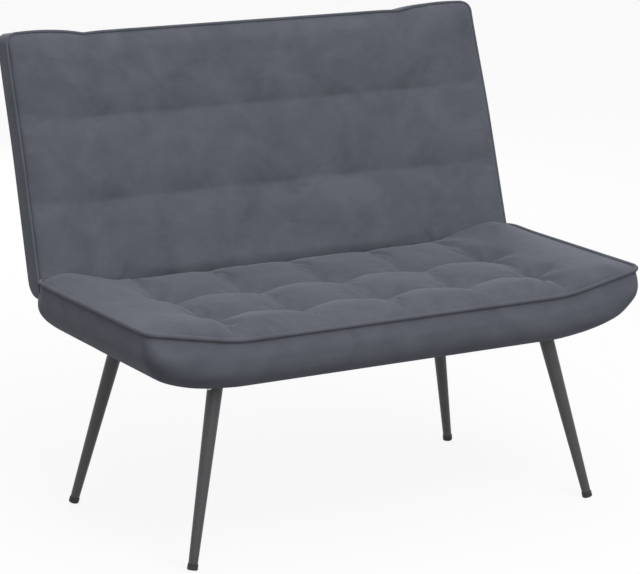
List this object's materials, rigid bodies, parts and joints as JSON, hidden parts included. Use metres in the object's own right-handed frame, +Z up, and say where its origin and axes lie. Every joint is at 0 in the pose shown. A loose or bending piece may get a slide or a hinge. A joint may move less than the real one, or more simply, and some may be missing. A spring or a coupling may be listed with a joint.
{
  "type": "upholstered bench",
  "caption": "Armless upholstered bench with a quilted, winged velvet seat, a high raked quilted back and splayed tapered metal legs.",
  "frame": {"origin": "on the floor, under the middle of the bench's box", "axes": "+X along the bench to the sitter's left, +Y to the rear, +Z up"},
  "size_m": [1.108, 0.665, 0.9201],
  "materials": {
    "velvet": "short-pile velvet with a mottled nap",
    "velvet_piping": "short-pile velvet",
    "foam": "open-cell foam",
    "dust_cloth": "black non-woven cloth",
    "plywood": "raw plywood",
    "back_bar_steel": "black paint",
    "tuft_tape": "twisted tape",
    "zinc": "zinc plated",
    "leg_paint": "satin anthracite powder coat",
    "glide_plastic": "matt black"
  },
  "bodies": {
    "root": {"seat_panel": "velvet", "seat_border": "velvet", "seat_rear_strip": "velvet", "back_panel": "velvet", "back_cover": "velvet", "seat_welt": "velvet_piping", "back_welt": "velvet_piping", "seat_foam": "foam", "back_foam": "foam", "dust_cover": "dust_cloth", "front_rail": "plywood", "middle_rail": "plywood", "rear_rail": "plywood", "deck_centre": "plywood", "back_board": "plywood", "leg_board_right": "plywood", "leg_board_left": "plywood", "inner_rib_right": "plywood", "inner_rib_left": "plywood", "end_rib_right": "plywood", "end_rib_left": "plywood", "deck_wing_right": "plywood", "deck_wing_left": "plywood", "back_wing_board_right": "plywood", "back_wing_board_left": "plywood", "back_cleat_right": "plywood", "back_cleat_left": "plywood", "back_bar_right": "back_bar_steel", "back_bar_left": "back_bar_steel", "seat_tuft_ties": "tuft_tape", "back_tuft_ties": "tuft_tape", "seat_tie_washers": "zinc", "back_tie_washers": "zinc", "bar_bolts": "zinc", "bar_t_nuts": "zinc", "leg_bolts": "zinc", "leg_washers": "zinc", "leg_t_nuts": "zinc", "leg_front_right": "leg_paint", "leg_front_left": "leg_paint", "leg_rear_right": "leg_paint", "leg_rear_left": "leg_paint", "leg_plate_front_right": "leg_paint", "leg_plate_front_left": "leg_paint", "leg_plate_rear_right": "leg_paint", "leg_plate_rear_left": "leg_paint", "foot_glide_front_right": "glide_plastic", "foot_glide_front_left": "glide_plastic", "foot_glide_rear_right": "glide_plastic", "foot_glide_rear_left": "glide_plastic"}
  },
  "joints": []
}
